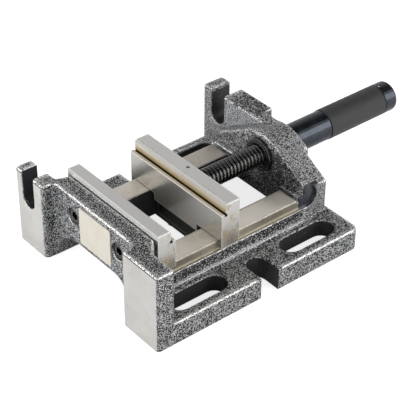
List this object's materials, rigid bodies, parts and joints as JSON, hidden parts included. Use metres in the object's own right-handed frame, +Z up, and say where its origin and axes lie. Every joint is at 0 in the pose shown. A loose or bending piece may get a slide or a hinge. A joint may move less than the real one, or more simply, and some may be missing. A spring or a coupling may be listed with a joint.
{
  "type": "three-way drill press vise",
  "caption": "Drill press vise with a slotted cast base, stepped steel jaws and a hollow turning handle; clamps down flat, on its end or on its side.",
  "frame": {"origin": "on the table, below the middle of the whole vise's bounding box", "axes": "+X along the screw towards the handle, +Y towards the two slotted posts, +Z up"},
  "size_m": [0.2816, 0.159, 0.0643],
  "materials": {
    "hammered_paint": "hammered grey paint on rough casting",
    "ground_steel": "ground",
    "black_steel": "blackened, oiled",
    "gloss_black": "gloss",
    "matt_black": "matt",
    "cream_label": "satin",
    "bronze": "turned"
  },
  "bodies": {
    "base": {"base_casting": "hammered_paint", "fixed_jaw_plate": "ground_steel", "jaw_cap_screw_left": "black_steel", "jaw_cap_screw_right": "black_steel", "label_plate": "cream_label", "thrust_washer_front": "bronze", "thrust_washer_rear": "bronze"},
    "sliding_jaw": {"moving_jaw": "ground_steel", "keeper_plate": "black_steel", "keeper_screw_left": "black_steel", "keeper_screw_right": "black_steel", "screw_pin": "ground_steel", "lead_screw": "black_steel"},
    "handle": {"nut_sleeve": "black_steel", "retaining_collar": "black_steel", "handle_tube": "gloss_black", "handle_grip": "matt_black", "handle_end_cap": "gloss_black", "cap_pin": "ground_steel"}
  },
  "joints": [
    {"name": "jaw_slide", "type": "slide", "parent": "base", "child": "sliding_jaw", "axis": [1, 0, 0], "range_m": [-0.0388, 0.045]},
    {"name": "handle_turn", "type": "hinge", "parent": "base", "child": "handle", "pos_m": [0, 0, 0.0473], "axis": [1, 0, 0], "range_deg": [-4450, 5150]}
  ],
  "couplings": [
    {"joint": "handle_turn", "follows": "jaw_slide", "rad_per_m": 1979}
  ]
}
